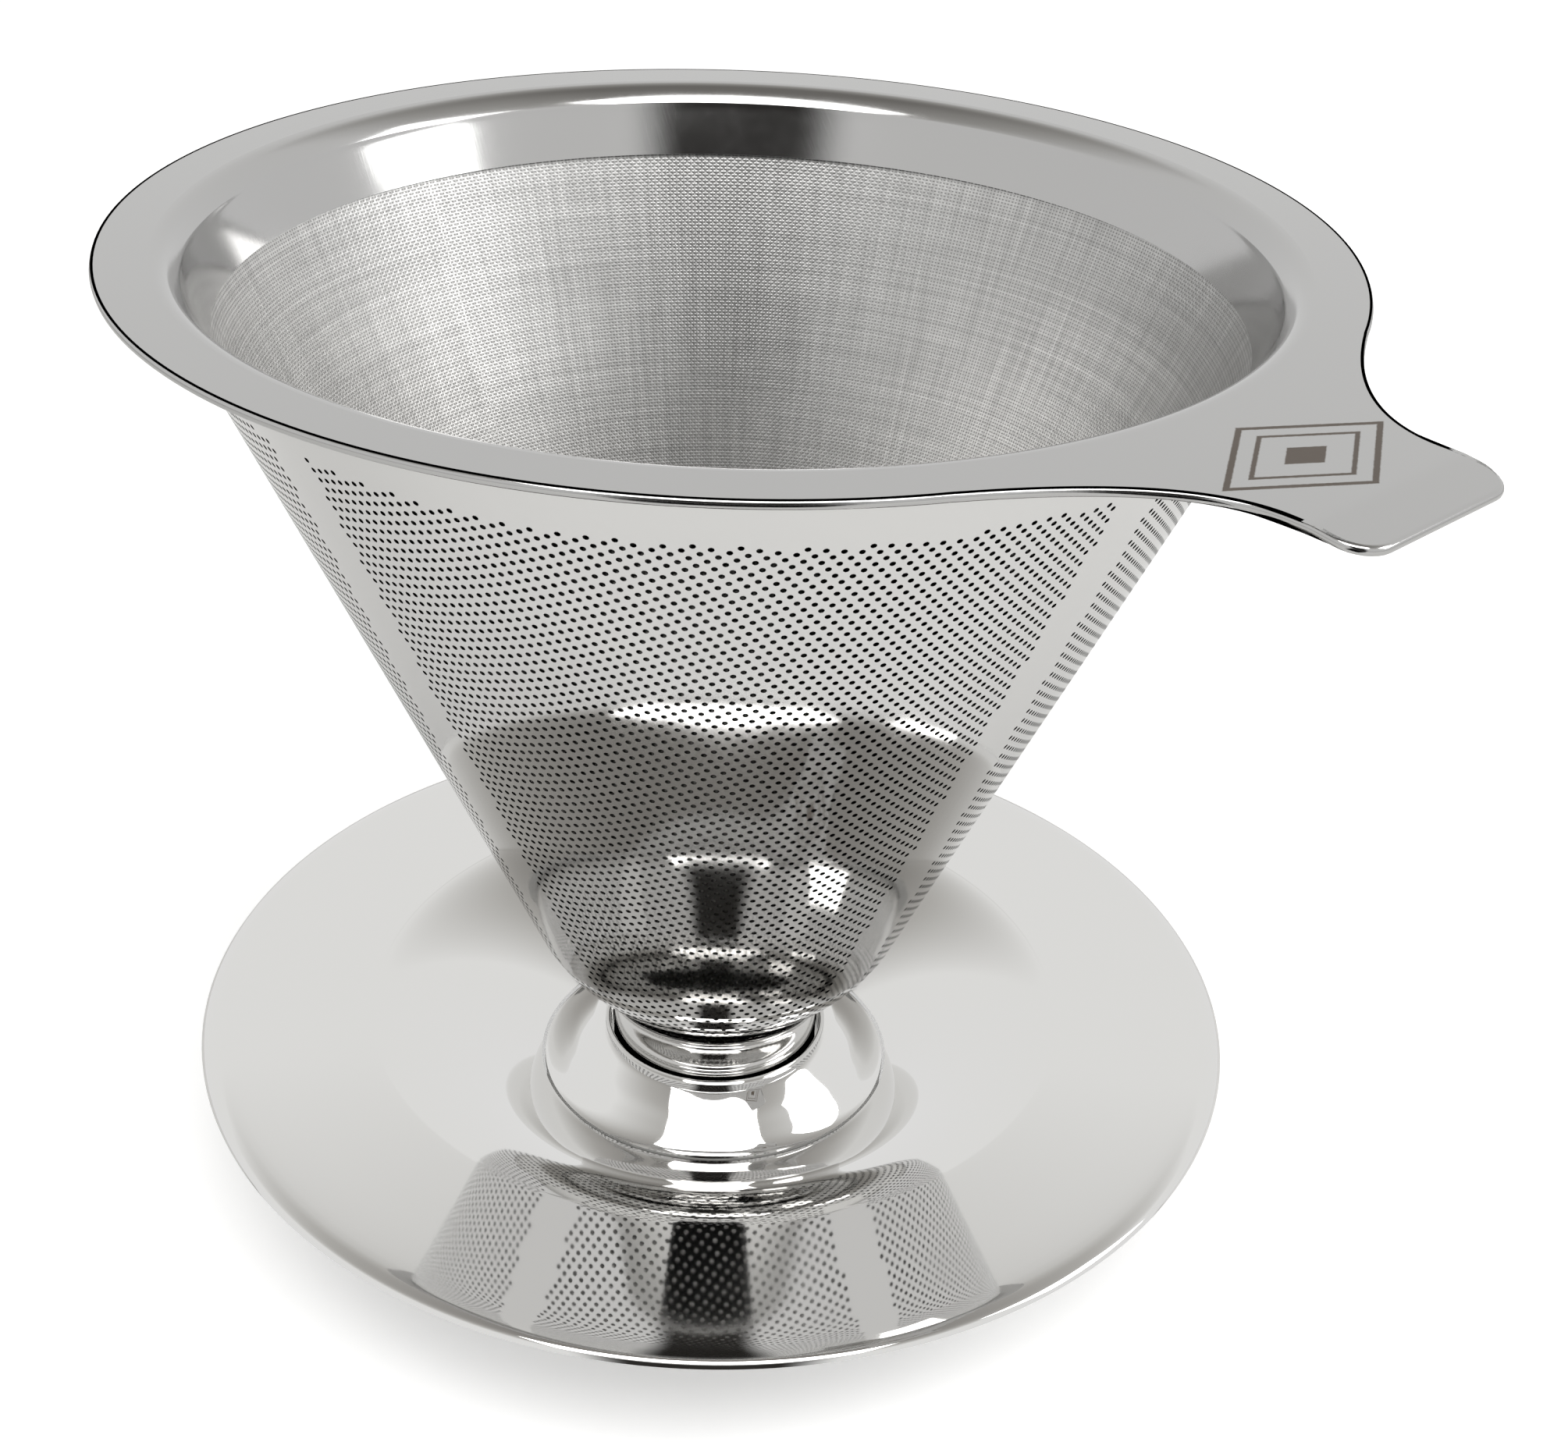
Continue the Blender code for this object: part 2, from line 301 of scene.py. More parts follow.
# %% Material helper
def steel(name, colour, gloss, haze_by, bump_by):
    """A stainless material. Returns it with its tree, shader, coordinates, bump and roughness nodes."""
    made = bpy.data.materials.new(name)
    made.use_nodes = True
    tree = made.node_tree
    shader = tree.nodes["Principled BSDF"]
    shader.inputs["Metallic"].default_value = 1.0
    shader.inputs["Base Color"].default_value = (*colour, 1.0)
    coords = tree.nodes.new("ShaderNodeTexCoord")
    clouds = node(tree, "ShaderNodeGroup", {}, node_tree=haze)
    tree.links.new(coords.outputs["Object"], clouds.inputs[0])
    rough = node(tree, "ShaderNodeMapRange", {0: clouds.outputs[0]}, in_1=0.35, in_2=0.9)
    rough.inputs[3].default_value = gloss
    rough.inputs[4].default_value = gloss + haze_by
    tree.links.new(rough.outputs[0], shader.inputs["Roughness"])
    bump = node(tree, "ShaderNodeBump", {})
    bump.inputs["Strength"].default_value = bump_by
    bump.inputs["Distance"].default_value = 0.00005
    tree.links.new(bump.outputs[0], shader.inputs["Normal"])
    return made, tree, shader, coords, bump, rough


# %% Mirror polished steel for the stand
STAND_STEEL = (0.79, 0.785, 0.775)
mirror, tree, _, coords, bump, _ = steel("mirror_finish", STAND_STEEL, 0.015, 0.05, 0.006)
hairlines = node(tree, "ShaderNodeGroup", {}, node_tree=grain)
tree.links.new(coords.outputs["Object"], hairlines.inputs[0])
hairlines.inputs[1].default_value = 2600.0
hairlines.inputs[2].default_value = 90.0
tree.links.new(hairlines.outputs[0], bump.inputs["Height"])
print(mirror.name, "has", len(tree.nodes), "nodes")

# %% [markdown]
# The rim's steel is brushed, and its colour is darker than the other steel: painted shade, a darker
# reflection given as colour.
# Its second colour comes in where the etched mark's mask is 1, and the same mask dulls the gloss there,
# because etching leaves a rough surface.

# %% Satin steel for the rim, with the etched mark on its tab
# The rim's darker colour is painted shade: a darker reflection given as the steel's colour.
RIM_STEEL_SHADED = (0.50, 0.497, 0.492)
satin, tree, shader, coords, bump, rough = steel("satin_finish", RIM_STEEL_SHADED, 0.08, 0.08, 0.05)
drawn = node(tree, "ShaderNodeGroup", {}, node_tree=grain)
tree.links.new(coords.outputs["Object"], drawn.inputs[0])
drawn.inputs[1].default_value = 3200.0
drawn.inputs[2].default_value = 160.0
tree.links.new(drawn.outputs[0], bump.inputs["Height"])
plan = node(tree, "ShaderNodeUVMap", {}, uv_map="plan")
etched = node(tree, "ShaderNodeGroup", {0: plan.outputs[0]}, node_tree=mark)
tint = node(tree, "ShaderNodeMix", {0: etched.outputs[0]}, data_type="RGBA")
tint.inputs[6].default_value = (*RIM_STEEL_SHADED, 1.0)
tint.inputs[7].default_value = (0.15, 0.125, 0.105, 1.0)
tree.links.new(tint.outputs[2], shader.inputs["Base Color"])
dulled = maths(tree, "MULTIPLY_ADD", etched.outputs[0], 0.35, rough.outputs[0])
tree.links.new(dulled, shader.inputs["Roughness"])
print(satin.name, "has", len(tree.nodes), "nodes")

# %% Perforated sheet
SHEET_STEEL = (0.73, 0.725, 0.715)
punched, tree, _, coords, bump, _ = steel("perforated_finish", SHEET_STEEL, 0.03, 0.06, 0.02)
rolled = node(tree, "ShaderNodeGroup", {}, node_tree=grain)
tree.links.new(coords.outputs["Object"], rolled.inputs[0])
rolled.inputs[1].default_value = 1500.0
rolled.inputs[2].default_value = 300.0
tree.links.new(rolled.outputs[0], bump.inputs["Height"])
print(punched.name, "has", len(tree.nodes), "nodes")

# %% [markdown]
# The lining's wires are a third of a millimetre apart, so the weave is a bump. The openings between the
# wires are painted near black: painted shade of the dark cone behind them.
# Real cloth is never even: its warp and weft threads darken it in faint upright and level streaks.

# %% Woven wire for the lining
woven, tree, shader, _, bump, _ = steel("woven_finish", (0.55, 0.545, 0.535), 0.30, 0.06, 0.4)
girth = node(tree, "ShaderNodeUVMap", {}, uv_map="girth")
wires = node(tree, "ShaderNodeGroup", {0: girth.outputs[0]}, node_tree=weave)
wires.inputs[1].default_value = WIRE_PITCH
warp = node(tree, "ShaderNodeGroup", {0: girth.outputs[0]}, node_tree=grain)
warp.inputs[1].default_value = 0.05
warp.inputs[2].default_value = 1.3
turned_girth = node(tree, "ShaderNodeVectorRotate", {0: girth.outputs[0]}, rotation_type="Z_AXIS")
turned_girth.inputs["Angle"].default_value = math.pi / 2
weft = node(tree, "ShaderNodeGroup", {0: turned_girth.outputs[0]}, node_tree=grain)
weft.inputs[1].default_value = 0.03
weft.inputs[2].default_value = 1.6
tree.links.new(wires.outputs[0], bump.inputs["Height"])
# Painted shade: the weave's openings get a near black colour for the dark space seen through them.
gap_shade = node(tree, "ShaderNodeMix", {0: wires.outputs[1]}, data_type="RGBA")
gap_shade.inputs[6].default_value = (0.66, 0.655, 0.645, 1.0)
gap_shade.inputs[7].default_value = (0.14, 0.138, 0.135, 1.0)
threads = maths(tree, "ADD", warp.outputs[0], weft.outputs[0])
cloth = node(tree, "ShaderNodeMapRange", {0: threads}, in_1=0.75, in_2=1.25, in_3=0.0, in_4=0.45)
shaded = node(tree, "ShaderNodeMix", {0: cloth.outputs[0], 6: gap_shade.outputs[2]}, data_type="RGBA")
shaded.inputs[7].default_value = (0.16, 0.158, 0.155, 1.0)
tree.links.new(shaded.outputs[2], shader.inputs["Base Color"])
shader.inputs["Anisotropic"].default_value = 0.7
lay = node(tree, "ShaderNodeTangent", {}, direction_type="UV_MAP", uv_map="girth")
tree.links.new(lay.outputs[0], shader.inputs["Tangent"])
print("materials:", [material.name for material in (mirror, satin, punched, woven)])

# %% [markdown]
# ## The rim and its thumb tab
# The rim is one pressed sheet. Its flat part is a stack of loops that starts as a circle at the
# roll and ends as the outer outline, tab and all. Extruding each ring to the next makes quads
# that flow from the roll to the edge, so the shading has no seam.

# %% Outline of the rim and tab
ROLL_R = 57.0  # where the flat rim starts to roll down
TAB_HALF = 10.8  # half width of the tab's parallel end
FLARE_END = 75.0
FLARE_ROOT = 59.8
FLARE = 10.9  # extra half width at the flare's root
CORNER_R = 3.4
BEND = 76.6  # where the end starts to turn down
BEND_R = 7.0
BEND_ANGLE = math.radians(7)


def tab_half(u):
    """Half width of the tab at a distance from the axis."""
    width = TAB_HALF
    if u < FLARE_END:
        width += FLARE * ((FLARE_END - u) / (FLARE_END - FLARE_ROOT)) ** 2
    past = max(u - (TAB_END - CORNER_R), 0)
    return width - (CORNER_R - math.sqrt(max(CORNER_R**2 - past**2, 0)))


def tab_drop(u):
    """How far the tab's end has turned down at a distance along it."""
    past = max(u - BEND, 0)
    turn = min(past / BEND_R, BEND_ANGLE)
    return BEND_R * (1 - math.cos(turn)) + (past - turn * BEND_R) * math.sin(turn)


def half_outline():
    """From the middle of the tab's end, round its corner, along the flare and round the rim."""
    corner = TAB_END - CORNER_R
    end_half = TAB_HALF - CORNER_R
    points = [(TAB_END, end_half * k / 8) for k in range(8)]
    for k in range(9):
        turn = math.radians(90 * k / 8)
        points.append((corner + CORNER_R * math.cos(turn), end_half + CORNER_R * math.sin(turn)))
    step = 0.6
    reach = corner - step
    while math.hypot(reach, tab_half(reach)) > RIM_R + 0.05 and reach > 55:
        points.append((reach, tab_half(reach)))
        reach -= step
    start = math.atan2(points[-1][1], points[-1][0]) + 0.012
    steps = 96
    for k in range(steps + 1):
        turn = start + (math.pi - start) * k / steps
        points.append((RIM_R * math.cos(turn), RIM_R * math.sin(turn)))
    return points


upper = half_outline()
outline = upper + [(u, -v) for u, v in upper[-2:0:-1]]
print("rim outline:", len(outline), "points")

# %% [markdown]
# The inner circle needs as many points as the outline. Its points crowd towards the tab in the
# same way, so that the quads between them stay short there.

# %% Build the rim
under_z = RIM_Z - RIM_T
travelled = [0.0]
for a, b in zip(outline, outline[1:] + outline[:1]):
    turn_a, turn_b = math.atan2(a[1], a[0]), math.atan2(b[1], b[0])
    step = (turn_b - turn_a + math.pi) % math.tau - math.pi
    travelled.append(travelled[-1] + abs(step) + 0.008)
around = [math.tau * t / travelled[-1] for t in travelled[:-1]]
COLLAR_INSET = 1.95
roll = [(ROLL_R, RIM_Z), (RIM_R - 6.2, RIM_Z - 0.12), (RIM_R - 7.0, RIM_Z - 0.55)]
collar = [(cone_r(RIM_Z - drop, COLLAR_INSET), RIM_Z - drop) for drop in (1.7, 2.5, 5.0, 7.45)]
collar_path = smooth(roll + collar, 4)
collar_back = offset(collar_path, SHEET_T)
collar_back = [(max(r, 0), min(z, under_z + 0.25)) for r, z in collar_back]


def first_ring(bm, place, count):
    """A closed ring of count vertices at place(k) = (u, v, z) in mm, each marked with its number."""
    number = bm.verts.layers.int.new("number")
    ring = [bm.verts.new() for _ in range(count)]
    for k, vert in enumerate(ring):
        vert[number] = k
    edges = [bm.edges.new(pair) for pair in zip(ring, ring[1:] + ring[:1])]
    move_ring(ring, number, place)
    return edges, number


def move_ring(verts, number, place):
    """Puts each numbered vertex at its place."""
    for vert in verts:
        u, v, z = place(vert[number])
        vert.co = ((AXIS_X + u) * MM, v * MM, z * MM)


def next_ring(bm, edges, number, place):
    """Extrudes the ring and moves the new one into place. The new points keep their numbers."""
    made = bmesh.ops.extrude_edge_only(bm, edges=edges)["geom"]
    move_ring([item for item in made if isinstance(item, bmesh.types.BMVert)], number, place)
    return [item for item in made if isinstance(item, bmesh.types.BMEdge)]


def circle_at(r, z):
    """A plain circle with its points spread like the outline's."""
    return lambda k: (r * math.cos(around[k]), r * math.sin(around[k]), z)


def plate_at(share, z, inset=0.0):
    """A loop part of the way from the roll's circle (0) to the outline (1)."""

    def place(k):
        u0, v0 = ROLL_R * math.cos(around[k]), ROLL_R * math.sin(around[k])
        u1, v1 = outline[k]
        if inset:
            before, after = outline[k - 1], outline[(k + 1) % len(outline)]
            du, dv = after[0] - before[0], after[1] - before[1]
            run = math.hypot(du, dv)
            u1, v1 = u1 - dv / run * inset, v1 + du / run * inset
        u, v = u0 + (u1 - u0) * share, v0 + (v1 - v0) * share
        return u, v, z - tab_drop(u)

    return place


EDGE_R = 0.42
places = [circle_at(r, z) for r, z in reversed(collar_path)]
places += [plate_at(k / 40, RIM_Z) for k in range(1, 40)]
for turn in range(0, 181, 30):
    t = math.radians(turn)
    edge_middle = RIM_Z - EDGE_R if turn <= 90 else under_z + EDGE_R
    places.append(plate_at(1.0, edge_middle + EDGE_R * math.cos(t), EDGE_R * (1 - math.sin(t))))
places += [plate_at(k / 12, under_z) for k in range(11, 0, -1)]
places += [circle_at(r, z) for r, z in collar_back] + [places[0]]

rim_bm = bmesh.new()
ring_edges, number = first_ring(rim_bm, places[0], len(outline))
for place in places[1:]:
    ring_edges = next_ring(rim_bm, ring_edges, number, place)
bmesh.ops.remove_doubles(rim_bm, verts=rim_bm.verts, dist=0.000001)
MARK_MIDDLE = 68.8  # of the etched mark, from the axis
plan_layer = rim_bm.loops.layers.uv.new("plan")
for face in rim_bm.faces:
    for loop in face.loops:
        spot_co = loop.vert.co
        loop[plan_layer].uv = (spot_co.x / MM - AXIS_X - MARK_MIDDLE, spot_co.y / MM)
rim = shade(rim_bm, "rim", "filter", satin, sharp=50)
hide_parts("rim_flange")
print("rim:", len(rim.data.polygons), "faces in", len(places), "rings")

# %% [markdown]
# ## The perforated cone
# A cone unrolls into a flat fan, so the holes are laid out on flat sheet first, just as the
# real blank is punched before it is rolled. One square cell with a round hole is repeated by two
# Array modifiers, cut to the fan's shape, and then rolled up by moving its points.

# %% Cell of the pattern
PITCH = 1.105
HOLE_R = 0.30
GRAIN_TURN = math.radians(33.7)  # the lattice lies askew on the sheet
HALF_ANGLE = math.atan(CONE_SLOPE)
STRIP_HALF = 3.0  # half of the plain strip left along each seam


def cell_mesh(hole):
    """One square of sheet, from 0 to PITCH each way, with or without its hole."""
    bm = bmesh.new()
    if hole:
        inner = bmesh.ops.create_circle(bm, segments=8, radius=HOLE_R)["verts"]
        outer = bmesh.ops.create_circle(bm, segments=8, radius=PITCH / 2)["verts"]
        for vert in outer:
            longest = max(abs(vert.co.x), abs(vert.co.y))
            vert.co *= PITCH / 2 / longest
        bmesh.ops.bridge_loops(bm, edges=bm.edges[:])
        bmesh.ops.translate(bm, verts=inner + outer, vec=(PITCH / 2, PITCH / 2, 0))
    else:
        bmesh.ops.create_grid(bm, x_segments=2, y_segments=2, size=PITCH / 2)
        bmesh.ops.translate(bm, verts=bm.verts, vec=(PITCH / 2, PITCH / 2, 0))
    mesh = bpy.data.meshes.new("cell")
    bm.to_mesh(mesh)
    bm.free()
    return mesh


def lattice_mesh(hole, columns, rows):
    """The cell repeated by two Array modifiers, read back as one merged mesh."""
    helper = bpy.data.objects.new("lattice_helper", cell_mesh(hole))
    bpy.context.scene.collection.objects.link(helper)
    for count, step in ((columns, (PITCH, 0, 0)), (rows, (0, PITCH, 0))):
        repeat = helper.modifiers.new("repeat", "ARRAY")
        repeat.count = count
        repeat.use_relative_offset = False
        repeat.use_constant_offset = True
        repeat.constant_offset_displace = step
        repeat.use_merge_vertices = True
        repeat.merge_threshold = 0.01
    graph = bpy.context.evaluated_depsgraph_get()
    mesh = bpy.data.meshes.new_from_object(helper.evaluated_get(graph))
    bpy.data.objects.remove(helper, do_unlink=True)
    return mesh


# %% [markdown]
# The fan's polar coordinates are the slant distance from the cone's tip and an angle. Below the
# straight cone the same slant distance is carried on along the shoulder and the neck, so the
# pattern runs on without a break.

# %% Map from fan to cone
SLANT_FOOT = (CONE_FOOT_Z - APEX_Z) / math.cos(HALF_ANGLE)
SLANT_TOP = (RIM_Z - RIM_T - GAP - APEX_Z) / math.cos(HALF_ANGLE)
foot_path = smooth(
    [
        (cone_r(CONE_FOOT_Z + 1.4), CONE_FOOT_Z + 1.4),
        (cone_r(CONE_FOOT_Z), CONE_FOOT_Z),
        (19.9, 30.0),
        (18.3, 27.9),
        (16.4, 25.9),
        (14.6, 24.2),
        (13.3, 22.7),
        (12.5, 21.0),
        (12.25, 19.5),
        (NECK_R, 18.3),
        (NECK_R, 17.0),
        (NECK_R, 14.0),
        (NECK_R, NECK_BOTTOM_Z),
    ],
    8,
)[8:]
foot_run = [0.0]
for a, b in zip(foot_path, foot_path[1:]):
    foot_run.append(foot_run[-1] + math.hypot(b[0] - a[0], b[1] - a[1]))
SLANT_END = SLANT_FOOT - foot_run[-1]


def skin(slant, depth):
    """(radius, height) of the sheet at a slant distance, depth below its outer skin."""
    if slant >= SLANT_FOOT:
        r, z = slant * math.sin(HALF_ANGLE), APEX_Z + slant * math.cos(HALF_ANGLE)
        return r - depth * math.cos(HALF_ANGLE), z + depth * math.sin(HALF_ANGLE)
    run = SLANT_FOOT - slant
    k = min(max(sum(1 for f in foot_run if f <= run) - 1, 0), len(foot_path) - 2)
    share = min((run - foot_run[k]) / (foot_run[k + 1] - foot_run[k]), 1.0)
    (r0, z0), (r1, z1) = foot_path[k], foot_path[k + 1]
    length = math.hypot(r1 - r0, z1 - z0)
    nr, nz = (z1 - z0) / length, -(r1 - r0) / length
    return r0 + (r1 - r0) * share + nr * depth, z0 + (z1 - z0) * share + nz * depth


print(f"slant from {SLANT_END:.1f} over {SLANT_FOOT:.1f} to {SLANT_TOP:.1f} mm")


# %% [markdown]
# Rolling is only a change of coordinates: a point's slant distance and fan angle on the flat sheet
# give its height and its turn round the axis. Cells that meet a seam or an edge stay plain.

# %% Cut and roll a sheet
def sheet_window(turn_low, turn_high, slant_low, slant_high):
    """Columns and rows of lattice cells that cover a stretch of the fan."""
    us, vs = [], []
    for i in range(25):
        for j in range(9):
            turn = turn_low + (turn_high - turn_low) * i / 24 - FRONT
            slant = slant_low + (slant_high - slant_low) * j / 8
            fan = turn * math.sin(HALF_ANGLE)
            x, y = slant * math.sin(fan), slant * math.cos(fan)
            us.append(x * math.cos(GRAIN_TURN) + y * math.sin(GRAIN_TURN))
            vs.append(-x * math.sin(GRAIN_TURN) + y * math.cos(GRAIN_TURN))
    low = (math.floor(min(us) / PITCH) - 1, math.floor(min(vs) / PITCH) - 1)
    high = (math.ceil(max(us) / PITCH) + 1, math.ceil(max(vs) / PITCH) + 1)
    return low, high


def rolled_sheet(name, turn_low, turn_high, slant_low, slant_high, holes_low, holes_high, strips):
    """A rolled stretch of perforated sheet between two turns and two slant distances."""
    low, high = sheet_window(turn_low, turn_high, slant_low, slant_high)
    fan_low = (turn_low - FRONT) * math.sin(HALF_ANGLE)
    fan_high = (turn_high - FRONT) * math.sin(HALF_ANGLE)
    fan_strips = [(strip - FRONT) * math.sin(HALF_ANGLE) for strip in strips]

    def fan_of(u, v):
        x = u * math.cos(GRAIN_TURN) - v * math.sin(GRAIN_TURN)
        y = u * math.sin(GRAIN_TURN) + v * math.cos(GRAIN_TURN)
        fan = math.atan2(x, y)
        middle = (fan_low + fan_high) / 2
        return math.hypot(x, y), fan + math.tau * round((middle - fan) / math.tau)

    keep = {}
    for i in range(low[0], high[0]):
        for j in range(low[1], high[1]):
            corners = [fan_of((i + a) * PITCH, (j + b) * PITCH) for a in (0, 1) for b in (0, 1)]
            slants = [corner[0] for corner in corners]
            fans = [corner[1] for corner in corners]
            if min(slants) >= slant_high or max(slants) <= slant_low:
                continue
            if min(fans) >= fan_high or max(fans) <= fan_low:
                continue
            slant, fan = fan_of((i + 0.5) * PITCH, (j + 0.5) * PITCH)
            near = min(abs(fan - strip) * slant for strip in fan_strips)
            inside = holes_low < slant < holes_high and near > STRIP_HALF
            inside = inside and fan_low < fan < fan_high
            keep[i, j] = inside
    bm = bmesh.new()
    for hole in (True, False):
        mesh = lattice_mesh(hole, high[0] - low[0], high[1] - low[1])
        part = bmesh.new()
        part.from_mesh(mesh)
        wrong = []
        for face in part.faces:
            middle = face.calc_center_median()
            cell = (low[0] + math.floor(middle.x / PITCH), low[1] + math.floor(middle.y / PITCH))
            if keep.get(cell) is not hole:
                wrong.append(face)
        bmesh.ops.delete(part, geom=wrong, context="FACES")
        part.to_mesh(mesh)
        part.free()
        bm.from_mesh(mesh)
        bpy.data.meshes.remove(mesh)
    bmesh.ops.remove_doubles(bm, verts=bm.verts, dist=0.02)
    flat = bm.faces[:]
    raised = bmesh.ops.extrude_face_region(bm, geom=flat, use_keep_orig=True)
    lifted = [item for item in raised["geom"] if isinstance(item, bmesh.types.BMVert)]
    bmesh.ops.translate(bm, verts=lifted, vec=(0, 0, 1))
    for vert in bm.verts:
        u, v = vert.co.x + low[0] * PITCH, vert.co.y + low[1] * PITCH
        slant, fan = fan_of(u, v)
        slant = min(max(slant, slant_low), slant_high)
        fan = min(max(fan, fan_low), fan_high)
        r, z = skin(slant, SHEET_T if vert.co.z > 0.5 else 0.0)
        turn = fan / math.sin(HALF_ANGLE) + FRONT
        vert.co = ((AXIS_X + r * math.cos(turn)) * MM, r * math.sin(turn) * MM, z * MM)
    bmesh.ops.remove_doubles(bm, verts=bm.verts, dist=0.000002)
    bmesh.ops.dissolve_degenerate(bm, dist=0.000001, edges=bm.edges)
    piece = shade(bm, name, "filter", punched, sharp=45)
    print(f"{name}: {sum(keep.values())} holes, {len(piece.data.polygons)} faces")
    return piece


# %% [markdown]
# The sheet is made as four panels and a neck, each with a plain strip at its seams.

# %% Four panels and the neck
quarters = [math.radians(turn) for turn in (-180, -90, 0, 90, 180)]
names = ("cone_panel_back_left", "cone_panel_front", "cone_panel_right", "cone_panel_back")
HOLES_TOP_Z, HOLES_FOOT_Z = 105.6, 22.5
HOLES_TOP = (HOLES_TOP_Z - APEX_Z) / math.cos(HALF_ANGLE)
HOLES_END = SLANT_END + (HOLES_FOOT_Z - NECK_BOTTOM_Z)
for name, start, end in zip(names, quarters, quarters[1:]):
    panel = rolled_sheet(
        name, start, end, SLANT_FOOT, SLANT_TOP, SLANT_FOOT - 1, HOLES_TOP, (start, end)
    )
    if name == "cone_panel_front":
        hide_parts("outer_cone")
whole = (quarters[0], quarters[4])
rolled_sheet("cone_neck", *whole, SLANT_END, SLANT_FOOT, HOLES_END, SLANT_FOOT + 1, whole)

# %% [markdown]
# ## The woven lining
# The lining is a plain thin cone. Its weave is far finer than any mesh should be, so the
# material draws it, from UVs in millimetres.

# %% Lining and its floor
LINING_T = 0.35
FLOOR_T = 0.42
FLOOR_Z = 33.15
lining_top, lining_foot = RIM_Z - RIM_T - 1.2, 33.1
lining_path = [(cone_r(z, SHEET_T + GAP), z) for z in (lining_top, 90.0, 70.0, 50.0, lining_foot)]
lining_bm = turned(lining_path + offset(lining_path, -LINING_T)[::-1])
turned_uv(lining_bm)
lining = shade(lining_bm, "lining", "filter", woven)
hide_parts("inner_mesh")

floor_r = cone_r(lining_foot, SHEET_T + 2 * GAP + LINING_T)
disc_bm = bmesh.new()
bmesh.ops.create_circle(disc_bm, cap_ends=True, segments=TURNS, radius=floor_r * MM)
bmesh.ops.translate(disc_bm, verts=disc_bm.verts, vec=(AXIS_X * MM, 0, FLOOR_Z * MM))
pushed = bmesh.ops.extrude_face_region(disc_bm, geom=disc_bm.faces[:], use_keep_orig=True)
lifted = [item for item in pushed["geom"] if isinstance(item, bmesh.types.BMVert)]
bmesh.ops.translate(disc_bm, verts=lifted, vec=(0, 0, FLOOR_T * MM))
disc_layer = disc_bm.loops.layers.uv.new("girth")
for face in disc_bm.faces:
    for loop in face.loops:
        loop[disc_layer].uv = (loop.vert.co.x / MM, loop.vert.co.y / MM)
disc = shade(disc_bm, "lining_floor", "filter", woven)
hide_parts("mesh_floor")
print("lining:", len(lining.data.polygons), "faces")

# %% [markdown]
# ## The stand
# The saucer, the hub and the foot are turned pieces. Their outlines matter more than anything
# else here: in polished steel the eye reads the curve of the outline from the reflections.
# The brim sinks into a bell-shaped dish that starts level and gets steeper towards the hub.

# %% Saucer
SAUCER_T = 0.9
DISH_R, DISH_FOOT_R, DISH_FOOT_Z, DISH_CURVE = 41.0, 20.9, 11.6, 1.7
dish = []
for k in range(41):
    share = k / 40
    rise = (BRIM_Z - DISH_FOOT_Z) * (1 - (1 - share) ** DISH_CURVE)
    dish.append((DISH_FOOT_R + (DISH_R - DISH_FOOT_R) * share, DISH_FOOT_Z + rise))
level = [(44.5, 20.3), (50.0, 20.3), (55.0, 20.3)]
turned_edge = [(58.2, 20.25), (59.3, 20.05), (60.0, 19.75), (BRIM_R - 0.05, 19.3)]
edge = level + turned_edge
saucer_path = smooth(dish + edge, 3)
saucer_bm = turned(saucer_path + offset(saucer_path, -SAUCER_T)[::-1])
saucer = shade(saucer_bm, "saucer", "stand", mirror)
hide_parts("stand_saucer")
print("saucer:", len(saucer.data.polygons), "faces")

# %% [markdown]
# The hub is one pressing: a rounded lip round the bore, a skirt that flares out to the dish, and a
# ledge inside that the neck's end sits on.

# %% Hub with its lip and skirt
hub_skin = smooth(
    [
        (12.6, 9.4),
        (12.6, 15.6),
        (12.65, 16.3),
        (12.95, 16.7),
        (13.45, 16.78),
        (14.15, 16.55),
        (15.0, 15.95),
        (16.5, 14.75),
        (17.9, 13.5),
        (19.2, 12.35),
        (20.0, 11.75),
        (20.5, 11.5),
    ],
    5,
)
under_skirt = [(20.55, 10.8), (19.6, 10.7), (18.6, 11.7), (17.0, 13.2), (15.2, 14.8), (14.0, 15.3)]
round_bore = [(13.5, 14.4), (13.4, 9.0), (13.1, 8.5)]
ledge = [(10.9, 8.5), (10.9, 9.3)]
hub_bm = turned(hub_skin + under_skirt + round_bore + ledge)
hub = shade(hub_bm, "hub", "stand", mirror)
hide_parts("stand_hub")
print("hub:", len(hub.data.polygons), "faces")

# %% [markdown]
# The foot is a short tube with a turned-in sole. It only has to be tidy: it stays in the shade.

# %% Foot, hidden under the dish
foot_sole = [(16.4, 0.0), (19.3, 0.0), (19.9, 0.15), (20.25, 0.5), (20.4, 1.1)]
foot_skin = foot_sole + [(20.4, 10.1), (20.3, 10.3)]
foot_inside = [(19.6, 10.3), (19.5, 10.1), (19.5, 1.2), (19.2, 0.9), (16.5, 0.9), (16.4, 0.8)]
foot_bm = turned(foot_skin + foot_inside)
foot = shade(foot_bm, "foot", "stand", punched)
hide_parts("stand_foot")
print("foot:", len(foot.data.polygons), "faces")

# %% [markdown]
# ## Camera
# The camera stands low in front, a little to the left of the tab, and looks down about thirty
# degrees. It is rolled slightly, as a camera held by hand would be.

